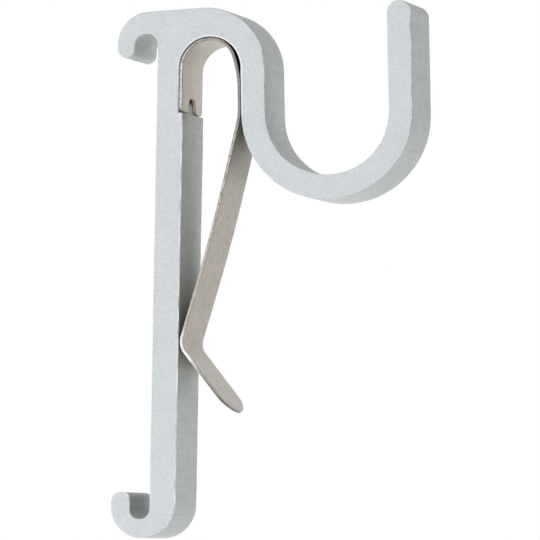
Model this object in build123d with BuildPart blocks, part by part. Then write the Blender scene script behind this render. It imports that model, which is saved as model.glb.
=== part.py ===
"""Map rail hook: an extruded aluminium hook and the bent spring strip that lives in its arch.

The hook is one length of extrusion. Its stem stands against the rail, and a small curl at
each end closes over a lip of the rail. A plate runs from the top curl over an arch, and the
arch goes on as a large roller hook. The spring strip is pushed up into the arch, rests on a
ledge in the stem, and holds paper between its heel and the stem.

Millimetres, +Z up. The profile is drawn in XZ and runs along Y, the direction of the rail.
The origin is on the rail side of the stem, halfway between the closed ends of the two slots
and halfway through the depth. -X is the rail side, +X the room side.
"""

import math
import os

from build123d import *

# --- extrusion ---------------------------------------------------------------------------
depth = 9.5                    # length that is cut from the bar, along Y
edge_break = 0.15              # the sawn edges are broken by this much

# --- stem and the two curls that grip the rail -------------------------------------------
stem_thickness = 3.05
slot_span = 54.8               # closed end to closed end, the height of the rail
top_slot_width = 2.6
top_slot_depth = 2.75          # closed end of the slot to the tip of its lip
top_lip_thickness = 2.1
top_curl_radius = 3.75         # outside of the top curl
bottom_slot_width = 2.3
bottom_slot_depth = 3.0
bottom_lip_thickness = 2.2
bottom_curl_radius = 3.55      # outside of the bottom curl, under the lip
stem_foot_radius = 3.9         # outside corner under the stem
foot_thickness = 2.15          # below the closed end of the bottom slot

# --- top plate and arch ------------------------------------------------------------------
plate_thickness = 2.5          # above the closed end of the top slot
plate_rise = 3.9               # degrees, the top of the plate climbs towards the arch
arch_radius = 3.55             # inside of the arch
arch_drop = 3.86               # centre of the arch below the closed end of the top slot
arch_shoulder_radius = 6.8     # outside corner over the arch

# --- roller hook -------------------------------------------------------------------------
hook_wall = 2.8
hook_radius = 7.1              # inside of the bend
hook_lean = 2.2                # degrees, both sides of the hook lean towards the rail
neck_length = 5.4              # straight wall between the arch and the bend
tip_length = 10.8              # straight wall between the bend and the round tip

# --- spring strip ------------------------------------------------------------------------
strip_thickness = 0.38
strip_inset = 0.1              # the strip is this much inside each sawn face
strip_clearance = 0.05         # between the strip and the walls it is sprung against
strip_seat_gap = 0.15          # between the strip's end and the ledge
recess_shelter = 0.12          # the recess is deeper than the strip by this much
ledge_drop = 5.05              # ledge below the centre of the arch
flare_angle = 15.0             # degrees, how far from the neck the strip leaves its shoulder
flare_drop = 0.8               # where that flare would meet the neck, below the arch's centre
flare_radius = 11.0
kink_radius = 8.0              # where the strip turns away from the neck
bow = 0.43                     # the free span bulges towards the room by half of this
heel_radius = 1.9              # middle of the strip round the heel
heel_gap = 0.05                # between the heel and the stem
heel_drop = 31.3               # heel's corner below the centre of the arch
tail_angle = 39.0              # degrees from the vertical
tail_length = 9.5              # heel's corner to the end of the tail

# --- notch and rounded end of the strip --------------------------------------------------
notch_width = 3.7              # at the mouth
notch_crown = 2.7              # across the closed end, before it is rounded
notch_height = 1.7
prong_radius = 0.6
tail_end_radius = 7.0          # the end of the tail is an arc over its whole width
tail_corner_radius = 1.5       # between that arc and the strip's sides

# --- heights and places that follow ------------------------------------------------------
slot_top = slot_span / 2
slot_bottom = -slot_span / 2
arch_z = slot_top - arch_drop
recess_depth = strip_thickness + recess_shelter
recess_x = stem_thickness - recess_depth
arch_x = recess_x + arch_radius
ledge_z = arch_z - ledge_drop
lean = math.radians(hook_lean)
rise = math.radians(plate_rise)
tail_tilt = math.radians(tail_angle)
half_wall = hook_wall / 2
half_strip = strip_thickness / 2


def neck_point(outward, down):
    """A point on the neck: outward from the arch's centre, and down along the wall."""
    x = arch_x + outward * math.cos(lean) + down * math.sin(lean)
    z = arch_z + outward * math.sin(lean) - down * math.cos(lean)
    return (x, z)


def meet(first, first_angle, second, second_angle):
    """Where two lines cross, each given by a point and its direction in radians."""
    dx = second[0] - first[0]
    dz = second[1] - first[1]
    turn = math.sin(second_angle - first_angle)
    reach = (dx * math.sin(second_angle) - dz * math.cos(second_angle)) / turn
    return (first[0] + reach * math.cos(first_angle), first[1] + reach * math.sin(first_angle))


# --- hook body ---------------------------------------------------------------------------
# The outline runs with the metal on its left: up the recess, round the arch, round the roller
# hook and back, over the plate, round both curls and up the room side of the stem.
curl_left = -top_slot_width - top_lip_thickness
plate_start = (-top_slot_width / 2, slot_top + plate_thickness)
curl_corner = meet(plate_start, rise, (curl_left, 0), math.pi / 2)
neck_outside = neck_point(arch_radius + hook_wall, neck_length)
arch_corner = meet(plate_start, rise, neck_outside, math.pi / 2 + lean)
top_lip_round = top_lip_thickness / 2
bottom_lip_round = bottom_lip_thickness / 2
top_lip_z = slot_top - top_slot_depth + top_lip_round
bottom_lip_z = slot_bottom + bottom_slot_depth - bottom_lip_round
foot_left = -bottom_slot_width - bottom_lip_thickness
foot_z = slot_bottom - foot_thickness

with BuildPart() as hook_body:
    with BuildSketch(Plane.XZ):
        with BuildLine():
            recess = Line((recess_x, ledge_z), (recess_x, arch_z))
            arch = JernArc(recess @ 1, recess % 1, arch_radius, hook_lean - 180)
            neck = PolarLine(arch @ 1, neck_length, direction=arch % 1)
            bend = JernArc(neck @ 1, neck % 1, hook_radius + hook_wall, 180)
            leg = PolarLine(bend @ 1, tip_length, direction=bend % 1)
            tip = JernArc(leg @ 1, leg % 1, half_wall, 180)
            leg_inside = PolarLine(tip @ 1, tip_length, direction=tip % 1)
            bend_inside = JernArc(leg_inside @ 1, leg_inside % 1, hook_radius, -180)
            top_lip_outside = (curl_left, top_lip_z)
            plate = FilletPolyline(
                bend_inside @ 1,
                arch_corner,
                curl_corner,
                top_lip_outside,
                radius=[arch_shoulder_radius, top_curl_radius],
            )
            top_lip = JernArc(top_lip_outside, (0, -1), top_lip_round, 180)
            top_slot_wall = Line(top_lip @ 1, (-top_slot_width, slot_top - top_slot_width / 2))
            top_slot = JernArc(top_slot_wall @ 1, (0, 1), top_slot_width / 2, -180)
            rail_face = Line(top_slot @ 1, (0, slot_bottom + bottom_slot_width / 2))
            bottom_slot = JernArc(rail_face @ 1, (0, -1), bottom_slot_width / 2, -180)
            bottom_slot_wall = Line(bottom_slot @ 1, (-bottom_slot_width, bottom_lip_z))
            bottom_lip = JernArc(bottom_slot_wall @ 1, (0, 1), bottom_lip_round, 180)
            foot = FilletPolyline(
                bottom_lip @ 1,
                (foot_left, foot_z),
                (stem_thickness, foot_z),
                (stem_thickness, ledge_z),
                radius=[bottom_curl_radius, stem_foot_radius],
            )
            ledge = Line(foot @ 1, recess @ 0)
        make_face()
    extrude(amount=depth / 2, both=True)
    sawn_faces = faces().filter_by(Axis.Y)
    chamfer(sawn_faces.edges(), edge_break)
hook_body.part.label = "hook_body"

# --- spring clip -------------------------------------------------------------------------
# The strip's middle line, corner by corner: up the recess, over the arch, out to the neck,
# away from it at the kink, down to the heel and out along the tail.
reach = arch_radius - strip_clearance - half_strip
leg_x = recess_x + half_strip
crown_z = arch_z + reach
crown_radius = arch_x - leg_x
flare_point = neck_point(reach, flare_drop)
flare_tilt = lean + math.radians(flare_angle)
crown_corner = meet((leg_x, crown_z), 0, flare_point, flare_tilt - math.pi / 2)
shoulder_turn = math.pi / 2 - flare_tilt
shoulder_radius = 0.98 * (crown_corner[0] - arch_x) / math.tan(shoulder_turn / 2)
kink = neck_point(reach, neck_length)
heel_z = arch_z - heel_drop
span_tilt = math.atan2(kink[0] - stem_thickness, kink[1] - heel_z)
heel_setback = heel_radius / math.cos((tail_tilt + span_tilt) / 2)
heel_centre_x = stem_thickness + heel_gap + half_strip + heel_radius
heel = (heel_centre_x - heel_setback * math.cos((tail_tilt - span_tilt) / 2), heel_z)
middle = (
    (kink[0] + heel[0]) / 2 + bow * math.cos(span_tilt),
    (kink[1] + heel[1]) / 2 - bow * math.sin(span_tilt),
)
bow_radius = 0.45 * (math.dist(kink, heel) / 2) ** 2 / bow
tail_end = (
    heel[0] + tail_length * math.sin(tail_tilt),
    heel[1] - tail_length * math.cos(tail_tilt),
)
strip_end_z = ledge_z + strip_seat_gap
strip_width = depth - 2 * strip_inset
tail_end_depth = tail_end_radius - math.sqrt(tail_end_radius ** 2 - (strip_width / 2) ** 2)
leg_plane = Plane((leg_x, 0, strip_end_z), x_dir=(0, 1, 0), z_dir=(1, 0, 0))
tail_plane = Plane(
    (tail_end[0], 0, tail_end[1]),
    x_dir=(0, -1, 0),
    z_dir=(math.cos(tail_tilt), 0, math.sin(tail_tilt)),
)

with BuildPart() as spring_clip:
    with BuildSketch(Plane.XZ):
        with BuildLine():
            FilletPolyline(
                (leg_x, strip_end_z),
                (leg_x, crown_z),
                crown_corner,
                flare_point,
                kink,
                middle,
                heel,
                tail_end,
                radius=[
                    crown_radius,
                    shoulder_radius,
                    flare_radius,
                    kink_radius,
                    bow_radius,
                    heel_radius,
                ],
            )
        trace(line_width=strip_thickness)
    extrude(amount=strip_width / 2, both=True)

    # notch in the end that rests on the ledge, between two prongs with rounded corners
    with BuildSketch(leg_plane):
        with BuildLine():
            Polyline(
                (-notch_width / 2, 0),
                (-notch_crown / 2, notch_height),
                (notch_crown / 2, notch_height),
                (notch_width / 2, 0),
                close=True,
            )
        make_face()
        fillet(vertices().group_by(Axis.Y)[-1], 0.45 * notch_crown)
    extrude(amount=strip_thickness, both=True, mode=Mode.SUBTRACT)
    fillet(edges().filter_by(Axis.X).group_by(Axis.Z)[0], prong_radius)

    # rounded end of the tail: everything past its arc is cut away
    with BuildSketch(tail_plane):
        with BuildLine():
            Polyline(
                (-strip_width / 2, -tail_end_depth),
                (-strip_width, -tail_end_depth),
                (-strip_width, tail_end_radius),
                (strip_width, tail_end_radius),
                (strip_width, -tail_end_depth),
                (strip_width / 2, -tail_end_depth),
            )
            RadiusArc(
                (-strip_width / 2, -tail_end_depth),
                (strip_width / 2, -tail_end_depth),
                tail_end_radius,
            )
        make_face()
    extrude(amount=strip_thickness, both=True, mode=Mode.SUBTRACT)
    fillet(edges().filter_by(Axis((0, 0, 0), tail_plane.z_dir)), tail_corner_radius)
spring_clip.part.label = "spring_clip"

os.makedirs("parts", exist_ok=True)
export_step(hook_body.part, "parts/hook_body.step")
export_step(spring_clip.part, "parts/spring_clip.step")
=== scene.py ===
# %% [markdown]
# # Map rail hook
# A map rail hook is two pieces. The body is a short length of aluminium extrusion: a stem with
# a small curl at each end that grips a rail, an arch, and one large hook for a roller. In the
# arch sits a bent strip of spring steel that holds a sheet of paper against the stem. The packed
# model comes first, because every piece below takes its place from it.

# %% Load the fixed frame
import math

import bpy
import mathutils
from mathutils import Matrix, Vector


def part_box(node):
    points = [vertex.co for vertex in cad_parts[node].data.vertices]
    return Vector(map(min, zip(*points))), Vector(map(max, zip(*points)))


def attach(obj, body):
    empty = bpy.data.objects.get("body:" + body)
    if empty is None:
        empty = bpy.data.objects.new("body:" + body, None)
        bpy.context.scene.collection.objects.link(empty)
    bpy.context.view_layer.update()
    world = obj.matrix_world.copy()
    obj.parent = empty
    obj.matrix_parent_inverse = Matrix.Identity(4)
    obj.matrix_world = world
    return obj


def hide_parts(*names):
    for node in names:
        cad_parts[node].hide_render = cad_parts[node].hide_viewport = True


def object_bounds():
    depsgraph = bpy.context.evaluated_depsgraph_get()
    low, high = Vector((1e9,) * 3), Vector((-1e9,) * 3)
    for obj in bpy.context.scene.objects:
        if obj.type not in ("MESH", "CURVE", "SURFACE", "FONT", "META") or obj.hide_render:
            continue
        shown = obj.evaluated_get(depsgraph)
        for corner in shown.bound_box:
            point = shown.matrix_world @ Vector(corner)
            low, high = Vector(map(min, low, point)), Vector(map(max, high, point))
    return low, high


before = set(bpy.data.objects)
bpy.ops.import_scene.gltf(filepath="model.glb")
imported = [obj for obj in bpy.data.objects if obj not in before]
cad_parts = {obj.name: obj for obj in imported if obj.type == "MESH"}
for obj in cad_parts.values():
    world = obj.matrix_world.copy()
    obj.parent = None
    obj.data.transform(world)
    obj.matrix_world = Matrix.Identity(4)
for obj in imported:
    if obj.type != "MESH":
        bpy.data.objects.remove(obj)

MM = 0.001
cad_low, cad_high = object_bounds()
hook_low, hook_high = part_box("hook_body")
clip_low, clip_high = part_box("spring_clip")
depth = (hook_high.y - hook_low.y) / MM
print("hook from", hook_low / MM, "to", hook_high / MM)
print("clip from", clip_low / MM, "to", clip_high / MM)

# %% [markdown]
# ## Camera
# A small plain thing is best seen through a long lens from well away, so that its upright edges
# stay parallel. The camera stands about three quarters of a metre off, a little to the right,
# and just under the height of the hook. It could be aimed by a constraint, but here its three
# axes are worked out one by one: one way to the right, one way up, one way back. The small roll
# lets the hook lean a little in the view.

# %% Place the camera
AZIMUTH = math.radians(13.644)
ELEVATION = math.radians(-2.381)
ROLL = math.radians(1.016)
DISTANCE = 0.735
SENSOR = 36.0
LENS = 433.32
AIM_SHIFT = Vector((-0.127, 0, 0.176)) * MM
NEAREST, FARTHEST = 0.05, 20

aim = (cad_low + cad_high) / 2 + AIM_SHIFT
back = Vector((
    math.sin(AZIMUTH) * math.cos(ELEVATION),
    -math.cos(AZIMUTH) * math.cos(ELEVATION),
    math.sin(ELEVATION),
))
level = Vector((math.cos(AZIMUTH), math.sin(AZIMUTH), 0))
upright = back.cross(level)
right = level * math.cos(ROLL) + upright * math.sin(ROLL)
up = upright * math.cos(ROLL) - level * math.sin(ROLL)

camera = bpy.data.objects.new("camera", bpy.data.cameras.new("camera"))
camera.data.sensor_width = SENSOR
camera.data.lens = LENS
camera.data.clip_start = NEAREST
camera.data.clip_end = FARTHEST
bpy.context.scene.collection.objects.link(camera)
axes = Matrix((right, up, back)).transposed().to_4x4()
camera.matrix_world = Matrix.Translation(aim + back * DISTANCE) @ axes
bpy.context.scene.camera = camera
print("camera at", camera.matrix_world.translation, "looking at", aim)

# %% [markdown]
# ## Sums on sockets
# Materials and geometry trees are both nets of nodes. Written node by node they are hard to
# read, so one small class holds an output socket and turns Python's own signs into Math nodes.
# Every other node is added by its `node` method: first the settings, then the sockets.


# %% A wire that can be added and multiplied
class Wire:
    """An output socket of a node tree. Sums on it add Math nodes to the same tree."""

    def __init__(self, tree, socket=None):
        self.tree = tree
        self.socket = socket

    def node(self, kind, settings=None, sockets=None, output=0):
        """Add any node: its settings first, then values or wires for its sockets."""
        made = self.tree.nodes.new(kind)
        for name, value in (settings or {}).items():
            if name == "stops":
                ramp = made.color_ramp.elements
                ramp.remove(ramp[1])
                ramp[0].color = value[0][1]
                for place, colour in value[1:]:
                    ramp.new(place).color = colour
            else:
                setattr(made, name, value)
        for name, value in (sockets or {}).items():
            if isinstance(value, Wire):
                self.tree.links.new(value.socket, made.inputs[name])
            else:
                made.inputs[name].default_value = value
        return Wire(self.tree, made.outputs[output] if made.outputs else None)

    def sum(self, operation, *values):
        """Add a Math node that works on wires and numbers."""
        return self.node("ShaderNodeMath", {"operation": operation}, dict(enumerate(values)))

    def vector(self, operation, sockets):
        """Add a Vector Math node. Its sockets go by number or by name."""
        return self.node("ShaderNodeVectorMath", {"operation": operation}, sockets)

    def __add__(self, other):
        return self.sum("ADD", self, other)

    __radd__ = __add__

    def __mul__(self, other):
        return self.sum("MULTIPLY", self, other)

    __rmul__ = __mul__

    def __sub__(self, other):
        return self.sum("SUBTRACT", self, other)

    def __rsub__(self, other):
        return self.sum("SUBTRACT", other, self)

    def __truediv__(self, other):
        return self.sum("DIVIDE", self, other)

    def __rtruediv__(self, other):
        return self.sum("DIVIDE", other, self)

    def __abs__(self):
        return self.sum("ABSOLUTE", self)

    def part(self, name):
        """One output of the same node, by its name."""
        return Wire(self.tree, self.socket.node.outputs[name])


print("wires take + - * / and abs")

# %% [markdown]
# ## Finishes
# The two pieces are two metals. The extrusion is etched and anodised: pale, cool, satin, with a
# fine even grain, and on the drawn walls faint lines that the die left. The strip is rolled
# spring steel, warmer and a little darker, with faint lines along its length. Neither is a
# mirror, so each is part metal and part soft scatter, which is how a thin oxide skin looks. An
# image could be wrapped round each piece, but noise has no seams. On the body it reads Object
# coordinates, scaled to millimetres, and on the strip each point's place on the flat blank, so
# that every pattern stays put on its piece.


# %% A new finish
def new_finish(name):
    """A material with an empty tree: its first wire and its Principled shader."""
    finish = bpy.data.materials.new(name)
    finish.use_nodes = True
    tree = finish.node_tree
    tree.nodes.clear()
    start = Wire(tree)
    shader = start.node("ShaderNodeBsdfPrincipled")
    start.node("ShaderNodeOutputMaterial", sockets={"Surface": shader})
    return finish, start, shader


def feed(shader, **sockets):
    """Set or link sockets of a shader that is already there."""
    for name, value in sockets.items():
        socket = shader.socket.node.inputs[name.replace("_", " ")]
        if isinstance(value, Wire):
            shader.tree.links.new(value.socket, socket)
        else:
            socket.default_value = value


print("a finish starts as an empty tree with one shader")


# %% Patterns, colours and bumps
def pattern_space(start, stretch=(1, 1, 1)):
    """Object coordinates in millimetres. A small value draws patterns out along its axis."""
    place = start.node("ShaderNodeTexCoord").part("Object")
    scale = [value / MM for value in stretch]
    return start.node("ShaderNodeMapping", sockets={"Vector": place, "Scale": scale})


def noise(start, space, scale, detail=2.0, roughness=0.5):
    """Noise between 0 and 1, with about `scale` bumps to the millimetre."""
    sockets = {"Vector": space, "Scale": scale, "Detail": detail, "Roughness": roughness}
    return start.node("ShaderNodeTexNoise", sockets=sockets)


def blend(start, factor, first, second):
    """A colour between two colours."""
    sockets = {"Factor": factor, 6: first, 7: second}
    return start.node("ShaderNodeMix", {"data_type": "RGBA"}, sockets, output=2)


def layered(start, colour, layers):
    """Colours laid over one another. Each layer is a mask, its strength and its colour."""
    for mask, strength, tint in layers:
        colour = blend(start, mask * strength, colour, tint)
    return colour


def bumps(start, height, relief, strength):
    """A normal that is tilted by a height pattern, with this much relief in metres."""
    sockets = {"Height": height, "Distance": relief, "Strength": strength}
    return start.node("ShaderNodeBump", sockets=sockets)


print("patterns are in millimetres")


# %% Masks
def ease(value, zero_at, one_at):
    """A soft step from 0 to 1 between two places, upwards or downwards."""
    if zero_at > one_at:
        return 1 - ease(value, one_at, zero_at)
    sockets = {"Value": value, "From Min": zero_at, "From Max": one_at}
    return value.node("ShaderNodeMapRange", {"interpolation_type": "SMOOTHSTEP"}, sockets)


def band(value, first, last):
    """1 between two soft steps and 0 outside them. A step is where it is 0 and where it is 1."""
    return ease(value, *first) * ease(value, *last)


def larger(first, second):
    """The larger of two wires, or of a wire and a number."""
    return first.sum("MAXIMUM", first, second)


def hypotenuse(x, z):
    """How far a place is from the one where both of these are 0."""
    return x.sum("SQRT", x * x + z * z)


def axis(vector, name):
    """One number of a vector."""
    return vector.node("ShaderNodeSeparateXYZ", sockets={"Vector": vector}).part(name)


print("masks go from 0 to 1")

# %% [markdown]
# ## The aluminium
# The saw leaves the two cut faces pale and evenly grained, and the drawn walls are greyer, with
# faint lines along the bar, a soft mottle and a few small pits. The rim between them is where
# the burr was knocked off; it gets painted glints, and round the arch and down the stem a painted
# highlight. Where the strip is pressed into the arch, the wall gets painted shade, nearly black,
# with some oil. There is a brownish patch under the strip's end, painted shade with some grime
# where the heel rests, and painted shade in the lower slot. Each could be painted by hand, but a
# mask is exact and can be changed later: it comes from the way a face points, or from its
# distance to a place on the profile. In the values below, a step is a pair of numbers: where the
# mask is 0, and where it is 1.

# %% Colours of the aluminium
SAWN_PALE = (0.715, 0.75, 0.775, 1)
SAWN_DEEP = (0.63, 0.665, 0.69, 1)
WALL_PALE = (0.675, 0.715, 0.70, 1)
WALL_DEEP = (0.545, 0.59, 0.575, 1)
PIT_DUST = (0.36, 0.39, 0.38, 1)
# Painted glints on the broken rim
RIM_GLINT = (0.86, 0.88, 0.88, 1)
# Painted highlight on the rim round the arch and down the stem
RIM_HIGHLIGHT = (0.93, 0.97, 0.98, 1)
# Painted shade inside the lower slot
SLOT_SHADE = (0.22, 0.245, 0.24, 1)
# A brownish patch, broken up, just below the strip's end
BROWN_PATCH = (0.34, 0.28, 0.23, 1)
# Painted shade round the heel where it rests on the stem, with a brown grime tint
HEEL_SHADE_AND_GRIME = (0.15, 0.125, 0.10, 1)
# Painted shade, nearly black, where the strip presses into the arch, with some oil
ARCH_SHADE_AND_OIL = (0.035, 0.032, 0.028, 1)
print("drawn walls go from", WALL_DEEP[:3], "to", WALL_PALE[:3])

# %% Sawn faces, drawn walls and the rim between them
DRAWN_OUT = (1, 0.03, 1)
SAWN_STEP, RIM_STEP = (0.80, 0.97), (0.15, 0.45)

aluminium, start, shader = new_finish("etched_aluminium")
even = pattern_space(start)
along_bar = pattern_space(start, DRAWN_OUT)
outward_x, across_bar, height = [axis(even, name) for name in "XYZ"]
facing = start.node("ShaderNodeNewGeometry").part("Normal")
sideways = abs(axis(facing, "Y"))
sawn = ease(sideways, *SAWN_STEP)
drawn = 1 - sawn
rim = ease(sideways, *RIM_STEP) * drawn
print("three kinds of surface told apart,", len(aluminium.node_tree.nodes), "nodes")

# %% Grain, mottle, die lines, pits and painted glints on the rim
SAWN_TONES, WALL_TONES = (0.36, 0.64), (0.38, 0.62)
PITS_PER_MM, PIT_STEP, PIT_CLOUDS = 0.45, (0.16, 0.05), (0.42, 0.55)
GLINT_STEP, GLINT_GRAIN = (0.55, 0.65), (0.42, 0.55)

grain = noise(start, even, scale=3.4, detail=4.0, roughness=0.6)
clouds = noise(start, even, scale=0.35)
mottle = noise(start, even, scale=0.9, detail=3.0, roughness=0.6)
die_lines = noise(start, along_bar, scale=2.6, detail=3.0, roughness=0.65)
sawn_tone = ease(grain * 0.8 + clouds * 0.2, *SAWN_TONES)
wall_tone = ease(die_lines * 0.3 + grain * 0.4 + mottle * 0.3, *WALL_TONES)
pits = start.node("ShaderNodeTexVoronoi", sockets={"Vector": even, "Scale": PITS_PER_MM})
pitted = ease(pits, *PIT_STEP) * ease(clouds, *PIT_CLOUDS) * drawn
# Painted glints: a painted highlight in broken bright patches along the rim
glinted = ease(noise(start, even, scale=1.1), *GLINT_STEP) * ease(grain, *GLINT_GRAIN) * rim
print("patterns done,", len(aluminium.node_tree.nodes), "nodes")

# %% Where the rim gets a painted highlight
ARCH_CENTRE = (6.10, 23.54)
ARCH_WALL = 3.55
NECK_LEAN = 0.038
ARCH_RIM, ARCH_RIM_FOOT = (3.85, 3.62), (17.4, 18.6)
STEM_EDGE, STEM_RIM_TOP = ((2.8, 3.0), (3.6, 3.3)), (18.6, 18.4)
HIGHLIGHT_STEP = (0.3, 0.5)

above_centre = height - ARCH_CENTRE[1]
leaning = NECK_LEAN * larger(0 - above_centre, 0)
off_middle = outward_x - ARCH_CENTRE[0] - leaning
from_arch_line = hypotenuse(off_middle, larger(above_centre, 0))
by_arch = ease(from_arch_line, *ARCH_RIM) * ease(height, *ARCH_RIM_FOOT)
on_stem_edge = band(outward_x, *STEM_EDGE)
by_stem = on_stem_edge * ease(height, *STEM_RIM_TOP)
# Painted highlight on the rim by the arch and along the stem's edge
highlighted = larger(by_arch, by_stem) * ease(sideways, *HIGHLIGHT_STEP)
print("rubbed rim done,", len(aluminium.node_tree.nodes), "nodes")

# %% Painted shade in the arch, with some oil
ARCH_FOOT_STEP = (17.5, 18.1)
TOUCHING_WALL = (0.35, 0.2)
SAW_CUT_STEP, CROWN_STEP = (3.3, 3.9), (19.3, 20.1)
LEG_STEP, LESS_SHADE_BY_LEG = (3.1, 2.7), 0.6

to_centre = (-ARCH_CENTRE[0], 0, -ARCH_CENTRE[1])
from_centre = start.vector("MULTIPLY_ADD", {0: even, 1: (1, 0, 1), 2: to_centre})
out_of_wall = start.vector("DOT_PRODUCT", {0: from_centre, 1: facing}).part("Value")
touching = ease(abs(out_of_wall + ARCH_WALL), *TOUCHING_WALL)
near_saw_cut = ease(abs(across_bar), *SAW_CUT_STEP)
covered = larger(near_saw_cut, ease(height, *CROWN_STEP))
in_arch = touching * ease(height, *ARCH_FOOT_STEP) * covered
by_leg = ease(outward_x, *LEG_STEP) * near_saw_cut
# Painted shade on the arch's wall beside the strip and in the notch's crown, with oil; lighter by
# the leg
arch_shade_and_oil = in_arch * (1 - rim) * (1 - by_leg * LESS_SHADE_BY_LEG)
print("arch done,", len(aluminium.node_tree.nodes), "nodes")

# %% Painted shade in the lower slot, the brown patch below the ledge and painted shade at the heel
LOW_SLOT, SLOT_SHADE_STEP = (-1.15, -25.9), (3.2, 1.4)
PATCH_HEIGHT, PATCH_FRONT = (16.0, 18.4), (-1.5, -4.2)
PATCH_BAND, PATCH_BREAKS = ((2.4, 2.6), (4.0, 3.5)), (0.4, 0.55)
HEEL_BAND = ((-11.5, -7.5), (3.0, -6.0))

from_low_slot = hypotenuse(outward_x - LOW_SLOT[0], height - LOW_SLOT[1])
# Painted shade, darker towards the middle of the lower slot
slot_shaded = ease(from_low_slot, *SLOT_SHADE_STEP) * drawn * (1 - rim)
under_strip = ease(height, *PATCH_HEIGHT) * ease(across_bar, *PATCH_FRONT)
# A brownish patch on the stem's side, just under the strip's end and towards the front
below_ledge_patch = under_strip * band(outward_x, *PATCH_BAND) * ease(mottle, *PATCH_BREAKS) * drawn
# Painted shade above and below the heel's contact, tinted brown as grime
heel_shade_and_grime = band(height, *HEEL_BAND) * on_stem_edge * drawn
print("dirt done,", len(aluminium.node_tree.nodes), "nodes")

# %% The whole finish of the aluminium
WALL_RELIEF = 0.012 * MM
wall_colour = blend(start, wall_tone, WALL_DEEP, WALL_PALE)
sawn_colour = blend(start, sawn_tone, SAWN_DEEP, SAWN_PALE)
# The glints and highlight on the rim, and the shade in the slot, at the heel and in the arch, are
# painted
colour = layered(start, blend(start, sawn, wall_colour, sawn_colour), [
    (pitted, 0.5, PIT_DUST),
    (glinted, 0.8, RIM_GLINT),
    (highlighted, 0.8, RIM_HIGHLIGHT),
    (slot_shaded, 0.42, SLOT_SHADE),
    (below_ledge_patch, 0.6, BROWN_PATCH),
    (heel_shade_and_grime, 0.6, HEEL_SHADE_AND_GRIME),
    (arch_shade_and_oil, 1, ARCH_SHADE_AND_OIL),
])
relief = grain * 0.7 + die_lines * drawn * 0.3
feed(
    shader,
    Base_Color=colour,
    Metallic=0.15,
    Specular_IOR_Level=0.3,
    Roughness=0.48 + grain * 0.10 + in_arch * 0.3,
    Normal=bumps(start, relief, WALL_RELIEF, strength=0.5),
)
print("aluminium has", len(aluminium.node_tree.nodes), "nodes")

# %% [markdown]
# ## The spring steel
# The strip was rolled, so its faint lines follow its length round every bend. No object axis does
# that. The tree that bends the strip therefore keeps each point's place on the flat blank in an
# attribute, in millimetres: along, across and through. The same numbers tell the two sides apart
# and put each mark where it belongs: the olive crown, a warm blush beside it, painted shade with
# some oil where the strip lies against the neck, painted shade with some dirt below it, and the
# outer face's painted shade, darker along the span and lighter on the tail.

# %% Places along the blank, in millimetres
BLANK_PLACE = "blank_place"
BLANK_LENGTH = 56.6
FACE_HEIGHT = 0.19
KINK_AT, HEEL_AT = 20.2, 47.1
CROWN_BAND = ((5, 8), (14, 11))
BLUSH_BAND = ((9.5, 11), (13.5, 12.5))
CONTACT_SHADE_STEP = (KINK_AT + 1.4, KINK_AT - 1.2)
NECK_SHADE_STEP = (KINK_AT + 9, KINK_AT + 5.5)
TAIL_STEP = (HEEL_AT - 1, HEEL_AT + 3)
print("kink at", KINK_AT, "and heel at", HEEL_AT, "of", BLANK_LENGTH)

# %% Colours of the spring steel
INNER_PALE = (0.63, 0.595, 0.52, 1)
INNER_DEEP = (0.47, 0.44, 0.38, 1)
# The outer face along the span, painted darker as shade to even out the lamps' light
SPAN_SHADE_PALE = (0.48, 0.435, 0.375, 1)
SPAN_SHADE_DEEP = (0.345, 0.315, 0.27, 1)
# The outer face on the tail, painted shade, lighter than on the span
TAIL_SHADE_PALE = (0.57, 0.555, 0.49, 1)
TAIL_SHADE_DEEP = (0.42, 0.405, 0.355, 1)
CROWN = (0.40, 0.405, 0.33, 1)
WARM_STAIN = (0.60, 0.47, 0.38, 1)
# Painted shade of the neck on the start of the span, with some dirt
NECK_SHADE_AND_DIRT = (0.25, 0.235, 0.19, 1)
# Painted shade, nearly black, where the strip presses on the arch, with some oil
CONTACT_SHADE_AND_OIL = (0.05, 0.036, 0.024, 1)
print("the span's outer face goes from", SPAN_SHADE_DEEP[:3], "to", SPAN_SHADE_PALE[:3])

# %% The two faces of the strip
ROLLED_OUT = (0.15, 1, 1)
STEEL_TONES, STAIN_STEP = (0.37, 0.63), (0.48, 0.62)
OUTER_STEP = (-0.05, 0.05)

steel, start, shader = new_finish("rolled_spring_steel")
attribute = start.node("ShaderNodeAttribute", {"attribute_name": BLANK_PLACE})
place = attribute.part("Vector")
along, across, through = [axis(place, name) for name in "XYZ"]
rolled = start.node("ShaderNodeMapping", sockets={"Vector": place, "Scale": ROLLED_OUT})
rolling = noise(start, rolled, scale=3.0, detail=4.0, roughness=0.6)
patches = noise(start, place, scale=1.1, detail=3.0, roughness=0.6)
specks = noise(start, place, scale=3.2, detail=3.0, roughness=0.6)
tone = ease(rolling * 0.3 + patches * 0.4 + specks * 0.3, *STEEL_TONES)
outer = ease(through, *OUTER_STEP)
stained = ease(noise(start, place, scale=0.6), *STAIN_STEP)

inner_face = blend(start, tone, INNER_DEEP, INNER_PALE)
inner_face = blend(start, band(along, *CROWN_BAND) * 0.5, inner_face, CROWN)
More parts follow.
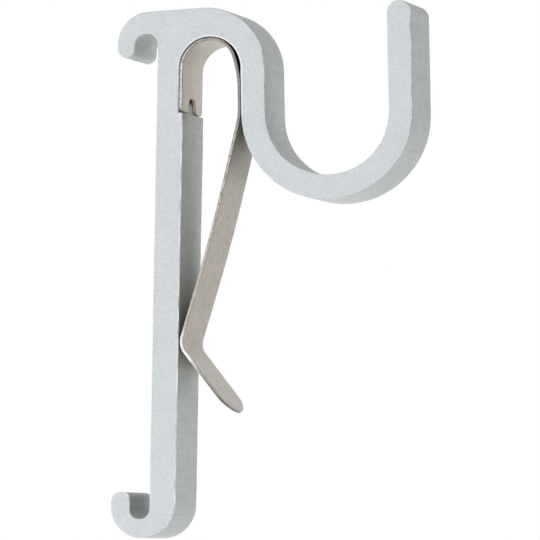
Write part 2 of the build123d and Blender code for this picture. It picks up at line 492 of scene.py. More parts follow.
# Painted shade: the outer face is darker along the span and less so on the tail
shaded_span = blend(start, tone, SPAN_SHADE_DEEP, SPAN_SHADE_PALE)
shaded_tail = blend(start, tone, TAIL_SHADE_DEEP, TAIL_SHADE_PALE)
shaded_outer = blend(start, ease(along, *TAIL_STEP), shaded_span, shaded_tail)
faces_colour = layered(start, blend(start, outer, inner_face, shaded_outer), [
    (stained * 0.22 + band(along, *BLUSH_BAND) * 0.25, 1, WARM_STAIN),
    # Painted shade below the neck with some dirt, then painted shade with oil against the arch
    (outer * ease(along, *NECK_SHADE_STEP), 0.8, NECK_SHADE_AND_DIRT),
    (outer * ease(along, *CONTACT_SHADE_STEP), 1, CONTACT_SHADE_AND_OIL),
])
print("faces of the strip done,", len(steel.node_tree.nodes), "nodes")

# %% [markdown]
# ## The cut edge of the strip
# A press shears steel part of the way through and tears the rest, so its cut edge is half smooth
# and half dark and rough. Handling chips it, and a painted highlight makes it white at the heel.
# A ramp along the blank gives the edge its tone, and the distance to the nearer face keeps it
# off the faces. A second material on the rim would do too, but its border would follow the mesh
# and be hard.

# %% Tones along the cut edge
# The deep tone of the torn cut, also used as painted shade in a thin line along the rim
CUT_DEEP_AND_EDGE_SHADE = (0.16, 0.15, 0.135, 1)
# Painted light on the notch's cut face, which no lamp reaches
NOTCH_CUT_LIT = (0.85, 0.72, 0.66, 1)
CUT_TONES = [
    (0, (0.74, 0.73, 0.70, 1)),
    (5, (0.70, 0.68, 0.65, 1)),
    (8, (0.42, 0.39, 0.36, 1)),
    (13, (0.30, 0.275, 0.25, 1)),
    (20, (0.29, 0.265, 0.24, 1)),
    (24, (0.52, 0.48, 0.44, 1)),
    (45.0, (0.52, 0.48, 0.44, 1)),
    # Painted highlight: the cut edge is white round the heel
    (46.8, (1.0, 0.98, 0.95, 1)),
    (49, (1.0, 0.98, 0.95, 1)),
    (50.2, (0.58, 0.55, 0.51, 1)),
    (51.4, (0.26, 0.24, 0.215, 1)),
    (53, (0.17, 0.155, 0.14, 1)),
    (56.6, (0.15, 0.14, 0.125, 1)),
]
stops = [(at / BLANK_LENGTH, tint) for at, tint in CUT_TONES]
along_ramp = start.node("ShaderNodeValToRGB", {"stops": stops}, {"Fac": along / BLANK_LENGTH})
print("the ramp has", len(stops), "stops")

# %% Chips, the painted light in the notch, and the torn half
EDGE_STEP, RIDGE_STEP = (0.004, 0.03), (0.02, 0.08)
LOWER_SPAN_STEP = (30, 38)
CHIP_STEP = (0.40, 0.55)
NOTCH_ALONG, NOTCH_ACROSS = (2.4, 2.0), (2.4, 2.1)
SMOOTH_HALF, SMOOTH_FROM = (-0.02, 0.06), (50.2, 51.6)

off_face = FACE_HEIGHT - abs(through)
edge = ease(off_face, *EDGE_STEP)
ridge = ease(off_face, *RIDGE_STEP)
lower_span = ease(along, *LOWER_SPAN_STEP)
chipped = 1 - ease(specks * 0.6 + patches * 0.4, *CHIP_STEP)
whole = 1 - chipped * (0.65 - lower_span * 0.4)
in_notch = ease(along, *NOTCH_ALONG) * ease(abs(across), *NOTCH_ACROSS)
smooth = ease(through, *SMOOTH_HALF) * ease(along, *SMOOTH_FROM)
cut_colour = layered(start, blend(start, whole, CUT_DEEP_AND_EDGE_SHADE, along_ramp), [
    # Painted light on the cut face inside the notch
    (in_notch, 1, NOTCH_CUT_LIT),
    (smooth, 0.75, TAIL_SHADE_DEEP),
])
print("cut edge done,", len(steel.node_tree.nodes), "nodes")

# %% The whole finish of the steel
ROLLED_RELIEF = 0.008 * MM
colour = layered(start, faces_colour, [
    # Painted shade: a dark line where each face turns into the rounded rim
    (edge, 0.8 - lower_span * 0.6, CUT_DEEP_AND_EDGE_SHADE),
    (ridge, 1, cut_colour),
])
feed(
    shader,
    Base_Color=colour,
    Metallic=0.55 - edge * 0.3,
    Roughness=0.34 + rolling * 0.12 + patches * 0.06,
    Normal=bumps(start, rolling * 0.6 + specks * 0.4, ROLLED_RELIEF, strength=0.5),
)
print("steel has", len(steel.node_tree.nodes), "nodes")

# %% [markdown]
# ## Drawing with straight runs and bends
# An extrusion die and a bending tool both make shapes from straight runs and arcs that meet
# without a corner. So both pieces are drawn that way: a point and a heading, moved ahead by
# `ahead` and round a bend by `bend`. `rounded` takes corners and a radius for each. Sampling a
# Bezier curve would do too, but then the radii of the real piece would have to be guessed.

# %% Runs and bends
ARC_STEP, FEWEST_STEPS = math.radians(3), 4


def ahead(line, heading, length):
    """Go straight on."""
    x, z = line[-1]
    line.append((x + length * math.cos(heading), z + length * math.sin(heading)))


def bend(line, heading, radius, degrees):
    """Go round an arc, to the left where the angle is positive."""
    angle = math.radians(degrees)
    side = math.copysign(1, angle)
    x, z = line[-1]
    centre_x = x - side * radius * math.sin(heading)
    centre_z = z + side * radius * math.cos(heading)
    steps = max(FEWEST_STEPS, math.ceil(abs(angle) / ARC_STEP))
    for step in range(1, steps + 1):
        turned = heading + angle * step / steps
        line.append((
            centre_x + side * radius * math.sin(turned),
            centre_z - side * radius * math.cos(turned),
        ))
    return heading + angle


print("arcs are drawn in steps of", round(math.degrees(ARC_STEP), 1), "degrees")


# %% Rounded corners
def turning(arriving, leaving):
    """The angle from one heading to the next, at most half a turn either way."""
    return (leaving - arriving + math.pi) % math.tau - math.pi


def rounded(line, corners, radii):
    """Go on through these corners to the last one, and round each with its radius."""
    for index, radius in enumerate(radii):
        here, corner, onward = line[-1], corners[index], corners[index + 1]
        heading = math.atan2(corner[1] - here[1], corner[0] - here[0])
        leaving = math.atan2(onward[1] - corner[1], onward[0] - corner[0])
        turn = turning(heading, leaving)
        setback = radius * abs(math.tan(turn / 2))
        line.append((
            corner[0] - setback * math.cos(heading),
            corner[1] - setback * math.sin(heading),
        ))
        bend(line, heading, radius, math.degrees(turn))
    line.append(corners[-1])


def meet(first, first_angle, second, second_angle):
    """Where two lines cross, each given by a point and its direction."""
    dx = second[0] - first[0]
    dz = second[1] - first[1]
    turn = math.sin(second_angle - first_angle)
    reach = (dx * math.sin(second_angle) - dz * math.cos(second_angle)) / turn
    return first[0] + reach * math.cos(first_angle), first[1] + reach * math.sin(first_angle)


print("from east to north is", round(math.degrees(turning(0, math.pi / 2))), "degrees")

# %% Clean lines and new objects
DOUBLE = 1e-4


def without_doubles(line):
    """The same points without those that fall on the one before."""
    kept = [line[0]]
    for point in line[1:]:
        if math.dist(point, kept[-1]) > DOUBLE:
            kept.append(point)
    return kept


def draw_line(name, points):
    """An open poly curve through 3-D points in millimetres."""
    curve = bpy.data.curves.new(name, "CURVE")
    curve.dimensions = "3D"
    spline = curve.splines.new("POLY")
    spline.points.add(len(points) - 1)
    for knot, point in zip(spline.points, points):
        knot.co = (point[0] * MM, point[1] * MM, point[2] * MM, 1)
    made = bpy.data.objects.new(name, curve)
    bpy.context.scene.collection.objects.link(made)
    return made


def mesh_object(name, points, faces):
    """A new object whose mesh has these points, in metres, and these faces."""
    mesh = bpy.data.meshes.new(name)
    mesh.from_pydata(points, [], faces)
    made = bpy.data.objects.new(name, mesh)
    bpy.context.scene.collection.objects.link(made)
    return made


print("points nearer than", DOUBLE, "mm count as one")

# %% [markdown]
# ## The profile of the extrusion
# The die's opening is one closed line: up the recess in the stem, round the arch, down the neck,
# round the roller hook and back, over the plate, round both curls and up the stem. The sizes are
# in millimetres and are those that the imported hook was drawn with, except that the lower lip has
# a squarer inner corner here. A scan of a real section would give the same line with all its
# faults, but then no size could be changed by itself.

# %% Sizes of the profile
STEM = 3.05
SLOT_TOP = 27.4
TOP_SLOT, TOP_SLOT_DEPTH, TOP_LIP, TOP_CURL = 2.6, 2.75, 2.1, 3.75
FOOT_SLOT, FOOT_SLOT_DEPTH, FOOT_LIP, FOOT_CURL = 2.3, 3.0, 2.2, 3.55
FOOT_LIP_INSIDE, FOOT_LIP_OUTSIDE = 0.6, 1.1
FOOT, FOOT_HEEL = 2.15, 3.9
PLATE, PLATE_RISE = 2.5, math.radians(3.9)
RECESS = 0.5
ARCH, ARCH_DROP, SHOULDER = 3.55, 3.86, 6.8
WALL, CRADLE = 2.8, 7.1
LEAN = math.radians(2.2)
NECK, TIP = 5.4, 10.8
LEDGE_DROP = 5.05

slot_foot = -SLOT_TOP
arch_x, arch_z = STEM - RECESS + ARCH, SLOT_TOP - ARCH_DROP
ledge_z = arch_z - LEDGE_DROP


def beside_neck(outward, down):
    """A point on the neck: outward from the arch's centre, and down along the wall."""
    return (
        arch_x + outward * math.cos(LEAN) + down * math.sin(LEAN),
        arch_z + outward * math.sin(LEAN) - down * math.cos(LEAN),
    )


print("arch centre at", round(arch_x, 2), round(arch_z, 2))

# %% Draw the profile
profile = [(STEM - RECESS, ledge_z), (STEM - RECESS, arch_z)]
heading = bend(profile, math.pi / 2, ARCH, math.degrees(LEAN) - 180)
ahead(profile, heading, NECK)
heading = bend(profile, heading, CRADLE + WALL, 180)
ahead(profile, heading, TIP)
heading = bend(profile, heading, WALL / 2, 180)
ahead(profile, heading, TIP)
bend(profile, heading, CRADLE, -180)

plate_start = (-TOP_SLOT / 2, SLOT_TOP + PLATE)
curl_left = -TOP_SLOT - TOP_LIP
curl_corner = meet(plate_start, PLATE_RISE, (curl_left, 0), math.pi / 2)
outside_neck = beside_neck(ARCH + WALL, NECK)
shoulder_corner = meet(plate_start, PLATE_RISE, outside_neck, math.pi / 2 + LEAN)
lip_z = SLOT_TOP - TOP_SLOT_DEPTH + TOP_LIP / 2
rounded(profile, [shoulder_corner, curl_corner, (curl_left, lip_z)], [SHOULDER, TOP_CURL])
bend(profile, -math.pi / 2, TOP_LIP / 2, 180)
profile.append((-TOP_SLOT, SLOT_TOP - TOP_SLOT / 2))
bend(profile, math.pi / 2, TOP_SLOT / 2, -180)
profile.append((0, slot_foot + FOOT_SLOT / 2))
bend(profile, -math.pi / 2, FOOT_SLOT / 2, -180)
profile.append((-FOOT_SLOT, slot_foot + FOOT_SLOT_DEPTH - FOOT_LIP_INSIDE))
heading = bend(profile, math.pi / 2, FOOT_LIP_INSIDE, 90)
ahead(profile, heading, FOOT_LIP - FOOT_LIP_INSIDE - FOOT_LIP_OUTSIDE)
bend(profile, heading, FOOT_LIP_OUTSIDE, 90)
foot_z = slot_foot - FOOT
foot_corners = [(-FOOT_SLOT - FOOT_LIP, foot_z), (STEM, foot_z), (STEM, ledge_z)]
rounded(profile, foot_corners, [FOOT_CURL, FOOT_HEEL])
profile = without_doubles(profile)

low_z = min(point[1] for point in profile)
high_z = max(point[1] for point in profile)
print("profile", len(profile), "points, height", round(low_z, 3), round(high_z, 3))
print("packed hook, height", round(hook_low.z / MM, 3), round(hook_high.z / MM, 3))

# %% [markdown]
# ## Cutting the extrusion to length
# The bar is cut by a saw, and the burr is knocked off by hand, so the broken edge is wider here
# and narrower there. A Bevel modifier keeps one width and is held back by the shortest side of
# the small arcs. So the mesh is written as rings: each ring is the profile, moved inwards and
# along the bar by a rounding whose width comes from a slow noise. The two cut faces stay flat.

# %% Even steps along the profile
MOST_STEP = 0.2
outline = []
for here, onward in zip(profile, profile[1:] + profile[:1]):
    parts = math.ceil(math.dist(here, onward) / MOST_STEP)
    for part in range(parts):
        share = part / parts
        outline.append((
            here[0] + share * (onward[0] - here[0]),
            here[1] + share * (onward[1] - here[1]),
        ))
count = len(outline)
print("outline has", count, "points")

# %% The way into the metal at each of them
LEAST_COSINE = 0.6
into_metal = []
for index, here in enumerate(outline):
    before, after = outline[index - 1], outline[(index + 1) % count]
    arriving = math.atan2(here[1] - before[1], here[0] - before[0])
    leaving = math.atan2(after[1] - here[1], after[0] - here[0])
    half_turn = turning(arriving, leaving) / 2
    inwards = arriving + half_turn + math.pi / 2
    stretch = 1 / max(math.cos(half_turn), LEAST_COSINE)
    into_metal.append((stretch * math.cos(inwards), stretch * math.sin(inwards)))
longest = max(math.hypot(*way) for way in into_metal)
print("the sharpest corner stretches it to", round(longest, 2))

# %% How wide the edge is broken
BACK, FRONT = 1, -1
NARROWEST, WIDEST_AT_BACK, WIDEST_AT_FRONT = 0.03, 0.12, 0.28
WAVES_PER_MM, CHIPS_PER_MM = 0.55, 2.0
MIDDLING, WAVE_PART, CHIP_PART = 0.45, 0.9, 0.5
RAIL_SIDE, MORE_ON_ROOM_SIDE = 0.3, 0.7
ENDS_APART = 20


def broken_width(x, z, side, facing_x):
    """How wide the edge is broken at this place, in millimetres: most on the room side."""
    place = Vector((x, z, ENDS_APART * side))
    wave = mathutils.noise.noise(place * WAVES_PER_MM)
    chip = mathutils.noise.noise(place * CHIPS_PER_MM)
    share = min(max(MIDDLING + WAVE_PART * wave + CHIP_PART * chip, 0), 1)
    share *= RAIL_SIDE + MORE_ON_ROOM_SIDE * max(facing_x, 0)
    most = WIDEST_AT_FRONT if side == FRONT else WIDEST_AT_BACK
    return NARROWEST + share * (most - NARROWEST)


print("the broken edge is", NARROWEST, "to", WIDEST_AT_FRONT, "mm wide")

# %% Rings of the bar, from the back face to the front
ON_WALL, ON_FACE = 0, 90
ROUNDING = [ON_FACE, 60, 30, ON_WALL]
SUPPORT = 0.05


def bar_ring(side, degrees, beyond=0.0):
    """The outline at one angle of the rounding, between the wall and the sawn face.

    A ring that lies a little beyond the rounding keeps the flat face next to it flat.
    """
    angle = math.radians(degrees)
    ring = []
    for (x, z), (in_x, in_z) in zip(outline, into_metal):
        round_by = broken_width(x, z, side, -in_x)
        inwards = round_by * (1 - math.cos(angle)) + beyond * math.sin(angle)
        y = depth / 2 - round_by * (1 - math.sin(angle)) - beyond * math.cos(angle)
        ring.append((x + inwards * in_x, side * y, z + inwards * in_z))
    return ring


rings = [bar_ring(BACK, ON_FACE, SUPPORT)]
rings += [bar_ring(BACK, degrees) for degrees in ROUNDING]
rings += [bar_ring(BACK, ON_WALL, SUPPORT), bar_ring(FRONT, ON_WALL, SUPPORT)]
rings += [bar_ring(FRONT, degrees) for degrees in reversed(ROUNDING)]
rings.append(bar_ring(FRONT, ON_FACE, SUPPORT))
print("the bar has", len(rings), "rings")

# %% The mesh of the hook
SHARP_EDGE = math.radians(40)
points = [[value * MM for value in point] for ring in rings for point in ring]
last_ring = len(points) - count
faces = [tuple(reversed(range(count)))]
for first in range(0, last_ring, count):
    for index in range(count):
        near, far = first + index, first + (index + 1) % count
        faces.append((near, far, far + count, near + count))
faces.append(tuple(range(last_ring, len(points))))
hook = mesh_object("rail_hook", points, faces)
hook.data.shade_smooth()
hook.data.set_sharp_from_angle(angle=SHARP_EDGE)
hook.data.materials.append(aluminium)
print("hook has", len(hook.data.polygons), "faces")

# %% [markdown]
# ## The flat blank of the spring strip
# The real strip is stamped flat, with a notch in one end and the other end rounded, and bent
# afterwards. The model follows the same order. The blank is a grid whose rows run from the
# notched end to the round end, so that the notch is simply where a row starts later. Its rim is
# rounded over, as a stamped edge is after tumbling. Cutting a notch with a Boolean is the other
# way, but it leaves long thin faces that show when the strip is bent.

# %% Sizes of the strip
THICKNESS = 0.38
INSET = 0.1
CLEARANCE = 0.05
SEAT_GAP = 0.15
FLARE, FLARE_DROP, FLARE_RADIUS = math.radians(15), 0.8, 11.0
SHOULDER_SHARE = 0.98
KINK_RADIUS, BOW, BOW_SHARE = 8.0, 0.43, 0.45
HEEL_RADIUS, HEEL_GAP, HEEL_DROP = 1.9, 0.05, 31.3
TAIL_TILT, TAIL = math.radians(39), 9.5
NOTCH_MOUTH, NOTCH_CROWN, NOTCH_HEIGHT = 3.7, 2.7, 1.7
NOTCH_ROUND = 0.45 * NOTCH_CROWN
PRONG = 0.6
TAIL_ROUND, TAIL_CORNER = 7.0, 1.5
RIM = 0.1

half_strip = THICKNESS / 2
width = depth - 2 * INSET
print("strip", THICKNESS, "by", round(width, 2))

# %% Corners of its bent line
leg_x = STEM - RECESS + half_strip
reach = ARCH - CLEARANCE - half_strip
crown_z = arch_z + reach
flare_point = beside_neck(reach, FLARE_DROP)
flare_tilt = LEAN + FLARE
crown_corner = meet((leg_x, crown_z), 0, flare_point, flare_tilt - math.pi / 2)
turn = math.pi / 2 - flare_tilt
shoulder_round = SHOULDER_SHARE * (crown_corner[0] - arch_x) / math.tan(turn / 2)
kink = beside_neck(reach, NECK)
heel_z = arch_z - HEEL_DROP
span_tilt = math.atan2(kink[0] - STEM, kink[1] - heel_z)
setback = HEEL_RADIUS / math.cos((TAIL_TILT + span_tilt) / 2)
heel_x = STEM + HEEL_GAP + half_strip + HEEL_RADIUS
heel = (heel_x - setback * math.cos((TAIL_TILT - span_tilt) / 2), heel_z)
middle = (
    (kink[0] + heel[0]) / 2 + BOW * math.cos(span_tilt),
    (kink[1] + heel[1]) / 2 - BOW * math.sin(span_tilt),
)
bow_round = BOW_SHARE * (math.dist(kink, heel) / 2) ** 2 / BOW
tail = (heel[0] + TAIL * math.sin(TAIL_TILT), heel[1] - TAIL * math.cos(TAIL_TILT))
print("the free span leans by", round(math.degrees(span_tilt), 2), "degrees")

# %% The bent line of the strip
route = [(leg_x, ledge_z + SEAT_GAP)]
rounded(
    route,
    [(leg_x, crown_z), crown_corner, flare_point, kink, middle, heel, tail],
    [arch_x - leg_x, shoulder_round, FLARE_RADIUS, KINK_RADIUS, bow_round, HEEL_RADIUS],
)
route = without_doubles(route)
stations = [0.0]
for before, after in zip(route, route[1:]):
    stations.append(stations[-1] + math.dist(before, after))
length = stations[-1]
print("strip is", round(length, 2), "long, its marks are placed for", BLANK_LENGTH)

# %% [markdown]
# ## The two ends of the blank
# The punch leaves a notch with rounded prongs at one end and an arc with rounded corners at the
# other. Both are drawn on the flat blank as lines from one side to the other, and moved inwards
# by the width of the rounded rim, which is added round the whole blank afterwards.

# %% Helpers for the ends
TINY = 1e-9


def moved_left(line, shift):
    """The line moved to its left."""
    moved = []
    for index, (x, y) in enumerate(line):
        before = line[max(index - 1, 0)]
        after = line[min(index + 1, len(line) - 1)]
        run = math.dist(before, after)
        moved.append((
            x - shift * (after[1] - before[1]) / run,
            y + shift * (after[0] - before[0]) / run,
        ))
    return moved


def level_on(line, across_by):
    """How far along the blank a line is, at a place across it."""
    for before, after in zip(line, line[1:]):
        if before[0] <= across_by <= after[0]:
            share = (across_by - before[0]) / max(after[0] - before[0], TINY)
            return before[1] + share * (after[1] - before[1])
    return line[0][1] if across_by < line[0][0] else line[-1][1]


print("end helpers ready")

# %% Outlines of the two ends
END_ZONE = 3.4
half_width = width / 2
notched = [(-half_width, END_ZONE)]
rounded(
    notched,
    [
        (-half_width, 0),
        (-NOTCH_MOUTH / 2, 0),
        (-NOTCH_CROWN / 2, NOTCH_HEIGHT),
        (NOTCH_CROWN / 2, NOTCH_HEIGHT),
        (NOTCH_MOUTH / 2, 0),
        (half_width, 0),
        (half_width, END_ZONE),
    ],
    [PRONG, PRONG, NOTCH_ROUND, NOTCH_ROUND, PRONG, PRONG],
)
notched = moved_left(without_doubles(notched)[1:-1], RIM)

corner_y = half_width - TAIL_CORNER
swing = math.asin(corner_y / (TAIL_ROUND - TAIL_CORNER))
corner_s = length - TAIL_ROUND + (TAIL_ROUND - TAIL_CORNER) * math.cos(swing)
tailed = [(half_width, corner_s)]
heading = bend(tailed, math.pi / 2, TAIL_CORNER, 90 - math.degrees(swing))
heading = bend(tailed, heading, TAIL_ROUND, 2 * math.degrees(swing))
bend(tailed, heading, TAIL_CORNER, 90 - math.degrees(swing))
tailed = moved_left(tailed, RIM)[::-1]
print("ends:", len(notched), "points on the notched end,", len(tailed), "on the round end")


# %% Spacing
def spaced(places, least):
    """Places in order, without those that are nearer than this to the one before."""
    kept = []
    for place in sorted(places):
        if not kept or place - kept[-1] >= least:
            kept.append(place)
    return kept


def filled(places, most):
    """The same places with more between them, so that no gap is wider than this."""
    full = [places[0]]
    for before, after in zip(places, places[1:]):
        parts = max(1, math.ceil((after - before) / most))
        full += [before + (after - before) * part / parts for part in range(1, parts + 1)]
    return full


print("0 to 1 in steps of at most 0.3:", filled([0, 1], 0.3))

# %% Rows and columns of the blank
LEAST_GAP = 0.04
MOST_ACROSS, MOST_ALONG = 0.35, 0.7
EDGE_MARGIN, ZONE_MARGIN = 0.03, 0.1
START_STEPS, END_STEPS = 7, 9

edge_y = half_width - RIM
tail_zone = length - END_ZONE
inner = [y for y, _ in notched + tailed if abs(y) < edge_y - EDGE_MARGIN]
rows = filled([-edge_y] + spaced(inner, LEAST_GAP) + [edge_y], MOST_ACROSS)
first_bend, last_bend = END_ZONE + ZONE_MARGIN, tail_zone - ZONE_MARGIN
bends = [place for place in stations if first_bend < place < last_bend]
columns = filled([END_ZONE] + spaced(bends, LEAST_GAP) + [tail_zone], MOST_ALONG)


def row_at(y):
    """Places along the strip in the row at this place across it."""
    first, last = level_on(notched, y), level_on(tailed, y)
    start = [first + (END_ZONE - first) * step / START_STEPS for step in range(START_STEPS)]
    steps = range(1, END_STEPS + 1)
    end = [tail_zone + (last - tail_zone) * step / END_STEPS for step in steps]
    return start + columns + end


grid = [[(s, y) for s in row_at(y)] for y in rows]
row_count, row_length = len(grid), len(grid[0])
print("blank grid", row_count, "rows by", row_length)

# %% Upper and lower side of the blank
points = [(s, y, half_strip) for row in grid for s, y in row]
points += [(s, y, -half_strip) for row in grid for s, y in row]
under = row_count * row_length
faces = []
for i in range(row_count - 1):
    for j in range(row_length - 1):
        near, far = i * row_length + j, (i + 1) * row_length + j
        faces.append((near, near + 1, far + 1, far))
        faces.append((under + near, under + far, under + far + 1, under + near + 1))
print("two sides with", len(faces), "faces")

# %% The way out at each point of its edge
loop = list(range(row_length))
loop += [i * row_length + row_length - 1 for i in range(1, row_count)]
loop += [(row_count - 1) * row_length + j for j in range(row_length - 2, -1, -1)]
loop += [i * row_length for i in range(row_count - 2, 0, -1)]
outward = []
for index in range(len(loop)):
    before, after = points[loop[index - 1]], points[loop[(index + 1) % len(loop)]]
    run = math.dist(before, after)
    outward.append(((after[1] - before[1]) / run, (before[0] - after[0]) / run))
print("the edge has", len(loop), "points")

# %% The rounded rim
ROUND_STEPS = 3
angles = [math.pi / 2 * step / ROUND_STEPS for step in range(1, ROUND_STEPS + 1)]
levels = [(math.sin(angle), half_strip - RIM + RIM * math.cos(angle)) for angle in angles]
levels += [(out, -high) for out, high in reversed(levels)]
rings = [loop]
for out, high in levels:
    first = len(points)
    for here, (out_s, out_y) in zip(loop, outward):
        s, y, _ = points[here]
        points.append((s + RIM * out * out_s, y + RIM * out * out_y, high))
    rings.append(list(range(first, len(points))))
rings.append([under + here for here in loop])
for upper, lower in zip(rings, rings[1:]):
    for index in range(len(loop)):
        onward = (index + 1) % len(loop)
        faces.append((upper[index], lower[index], lower[onward], upper[onward]))

blank = mesh_object("blank", [[value * MM for value in point] for point in points], faces)
blank.data.shade_smooth()
print("blank has", len(points), "points and", len(faces), "faces")

# %% [markdown]
# ## Bending the blank
# A bending tool moves each place of the flat strip to a place on the bent line and turns it to
# face across that line. That rule is the whole tree: the length along the blank picks a point on
# the path, the width stays, and the height goes along the path's normal. A Curve modifier bends
# in the same spirit, but it stretches the piece where the curve's points are far apart.

# %% Helpers for geometry trees
def new_tree(name, inputs):
    """A geometry tree with named inputs. Gives the tree and the wires of its inputs."""
    tree = bpy.data.node_groups.new(name, "GeometryNodeTree")
    face = tree.interface
    face.new_socket("Geometry", in_out="INPUT", socket_type="NodeSocketGeometry")
    for label, kind in inputs.items():
        face.new_socket(label, in_out="INPUT", socket_type=kind)
    face.new_socket("Geometry", in_out="OUTPUT", socket_type="NodeSocketGeometry")
    given = Wire(tree).node("NodeGroupInput")
    return tree, given, {label: given.part(label) for label in inputs}


def end_tree(geometry, finish):
    """Real geometry with its finish on it, given to the tree's output."""
    real = geometry.node("GeometryNodeRealizeInstances", sockets={0: geometry})
    dressed = real.node("GeometryNodeSetMaterial", sockets={0: real, "Material": finish})
    dressed.node("NodeGroupOutput", sockets={0: dressed})


def run_tree(piece, tree, **values):
    """Put the tree on the piece and set its named inputs."""
    modifier = piece.modifiers.new(tree.name, "NODES")
    modifier.node_group = tree
    for item in tree.interface.items_tree:
        if item.in_out == "INPUT" and item.name in values:
            modifier[item.identifier] = values[item.name]


def settle(piece, name):
    """A new plain mesh object from the piece with all its modifiers applied."""
    bpy.context.view_layer.update()
    graph = bpy.context.evaluated_depsgraph_get()
    mesh = bpy.data.meshes.new_from_object(piece.evaluated_get(graph))
    bpy.data.objects.remove(piece)
    mesh.name = name
    made = bpy.data.objects.new(name, mesh)
    bpy.context.scene.collection.objects.link(made)
    return made


print("geometry helpers ready")

# %% The tree that bends the strip
press, given, sizes = new_tree(
    "bend_strip",
    {"Path": "NodeSocketObject", "Finish": "NodeSocketMaterial"},
)
position = given.node("GeometryNodeInputPosition")
flat = given.node("ShaderNodeSeparateXYZ", sockets={0: position})
path = given.node("GeometryNodeObjectInfo", sockets={"Object": sizes["Path"]}).part("Geometry")
on_path = {"Curves": path, "Length": flat.part("X")}
spot = given.node("GeometryNodeSampleCurve", {"mode": "LENGTH"}, on_path)
side = given.node("ShaderNodeCombineXYZ", sockets={"Y": flat.part("Y")})
normal = given.vector("CROSS_PRODUCT", {0: spot.part("Tangent"), 1: (0, 1, 0)})
unit = given.vector("NORMALIZE", {0: normal})
lift = given.vector("SCALE", {0: unit, "Scale": flat.part("Z")})
beside = given.vector("ADD", {0: spot.part("Position"), 1: side})
bent = given.vector("ADD", {0: beside, 1: lift})
place_in_mm = given.vector("SCALE", {0: position, "Scale": 1 / MM})
noted = given.node(
    "GeometryNodeStoreNamedAttribute",
    {"data_type": "FLOAT_VECTOR", "domain": "POINT"},
    {0: given, "Name": BLANK_PLACE, "Value": place_in_mm},
)
moved = given.node("GeometryNodeSetPosition", sockets={0: noted, "Position": bent})
end_tree(moved, sizes["Finish"])
print("tree", press.name, "has", len(press.nodes), "nodes")

# %% Bend it
path_curve = draw_line("bent_line", [(x, 0, z) for x, z in route])
run_tree(blank, press, Path=path_curve, Finish=steel)
clip = settle(blank, "spring_strip")
bpy.data.objects.remove(path_curve)
for name, pick in (("lowest", min), ("highest", max)):
    corner = [pick(vertex.co[i] for vertex in clip.data.vertices) / MM for i in range(3)]
    print("strip,", name, [round(value, 2) for value in corner])
print("packed strip from", clip_low / MM, "to", clip_high / MM)

# %% [markdown]
# ## Bodies
# Both pieces are rigid and ride on the one body of the frame. Each stands for its imported solid,
# which is hidden and stays behind it for collisions.

# %% Ride on the frame
for piece, node, slot in (
    (hook, "hook_body", "satin_aluminium"),
    (clip, "spring_clip", "spring_steel"),
):
    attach(piece, "root")
    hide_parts(node)
    print(piece.name, "stands for", node)

# %% [markdown]
# ## Studio
# The hook hangs in front of plain white. The world is white to the camera and to the metal's
# reflections, and dimmer as a lamp, so that white stays white without flooding the object. The
# floor lies well below, pale, with the object's soft shadow on it. Large area lamps give the
# even light of a product table. One bright sun lamp would be simpler, but satin metal shows the
# shape of its lamps, and small ones leave hard spots.


# %% World
def seen(rays):
    """1 for rays that come from the camera, a reflection or clear glass, otherwise 0."""
    direct = larger(rays.part("Is Camera Ray"), rays.part("Is Glossy Ray"))
    return larger(direct, rays.part("Is Transmission Ray"))


WORLD_LEVEL = 0.27
world = bpy.data.worlds.new("studio")
bpy.context.scene.world = world
world.use_nodes = True
world.node_tree.nodes.clear()
sky = Wire(world.node_tree)
strength = WORLD_LEVEL + seen(sky.node("ShaderNodeLightPath")) * (1 - WORLD_LEVEL)
glow = sky.node("ShaderNodeBackground", sockets={"Color": (1, 1, 1, 1), "Strength": strength})
sky.node("ShaderNodeOutputWorld", sockets={"Surface": glow})
print("the world lights at", WORLD_LEVEL)

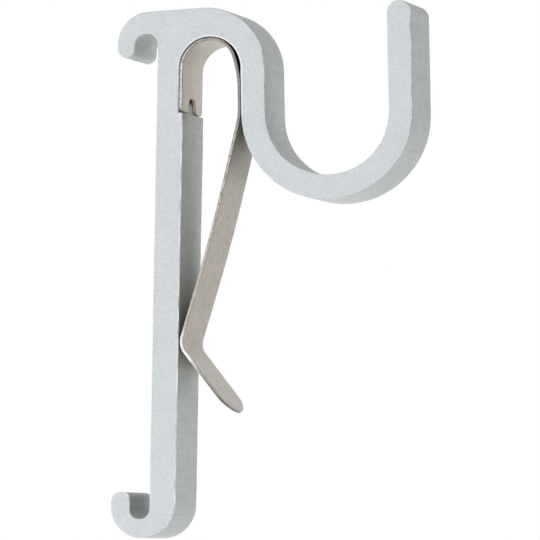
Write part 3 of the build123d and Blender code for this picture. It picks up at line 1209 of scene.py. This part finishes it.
# %% Floor
FLOOR_GAP, FLOOR_SIZE = 0.40, 6.0
FLOOR_TONE, FLOOR_GLOW = (0.82, 0.82, 0.82, 1), 0.30
card = bpy.data.materials.new("floor_card")
card.use_nodes = True
card.node_tree.nodes.clear()
start = Wire(card.node_tree)
matt = start.node("ShaderNodeBsdfDiffuse", sockets={"Color": FLOOR_TONE})
lit = seen(start.node("ShaderNodeLightPath")) * FLOOR_GLOW
shine = start.node("ShaderNodeEmission", sockets={"Color": (1, 1, 1, 1), "Strength": lit})
both = start.node("ShaderNodeAddShader", sockets={0: matt, 1: shine})
start.node("ShaderNodeOutputMaterial", sockets={"Surface": both})

half = FLOOR_SIZE / 2
floor_z = cad_low.z - FLOOR_GAP
sides = ((-half, -half), (half, -half), (half, half), (-half, half))
corners = [(x, y, floor_z) for x, y in sides]
floor = mesh_object("floor", corners, [(0, 1, 2, 3)])
floor.data.materials.append(card)
print("floor at", round(floor_z / MM, 1))

# %% Lamps
LAMPS = [
    # name, azimuth, elevation, distance, size, level
    ("front", 0, 0, 0.9, 0.6, 0.255),
    ("left_high", -60, 40, 0.9, 0.6, 0.275),
    ("left_low", -60, -35, 0.6, 0.5, 0.73),
    ("behind_right", 130, -35, 0.6, 0.5, 0.41),
    ("behind_left", -165, -10, 0.9, 0.6, 0.12),
]


def lamp(name, azimuth, elevation, away_by, size, level):
    """A square soft lamp that is aimed at the hook. Level 1 lights a facing card fully."""
    light = bpy.data.lights.new(name, "AREA")
    light.shape = "SQUARE"
    light.size = size
    light.energy = level * (math.pi * away_by) ** 2
    made = bpy.data.objects.new(name, light)
    a, e = math.radians(azimuth), math.radians(elevation)
    away = Vector((math.sin(a) * math.cos(e), -math.cos(a) * math.cos(e), math.sin(e)))
    made.location = aim + away * away_by
    made.rotation_mode = "QUATERNION"
    made.rotation_quaternion = away.to_track_quat("Z", "Y")
    bpy.context.scene.collection.objects.link(made)


for values in LAMPS:
    lamp(*values)
print("lamps:", [light.name for light in bpy.data.lights])

# %% View settings
bpy.context.scene.view_settings.view_transform = "Standard"
print("view transform", bpy.context.scene.view_settings.view_transform)
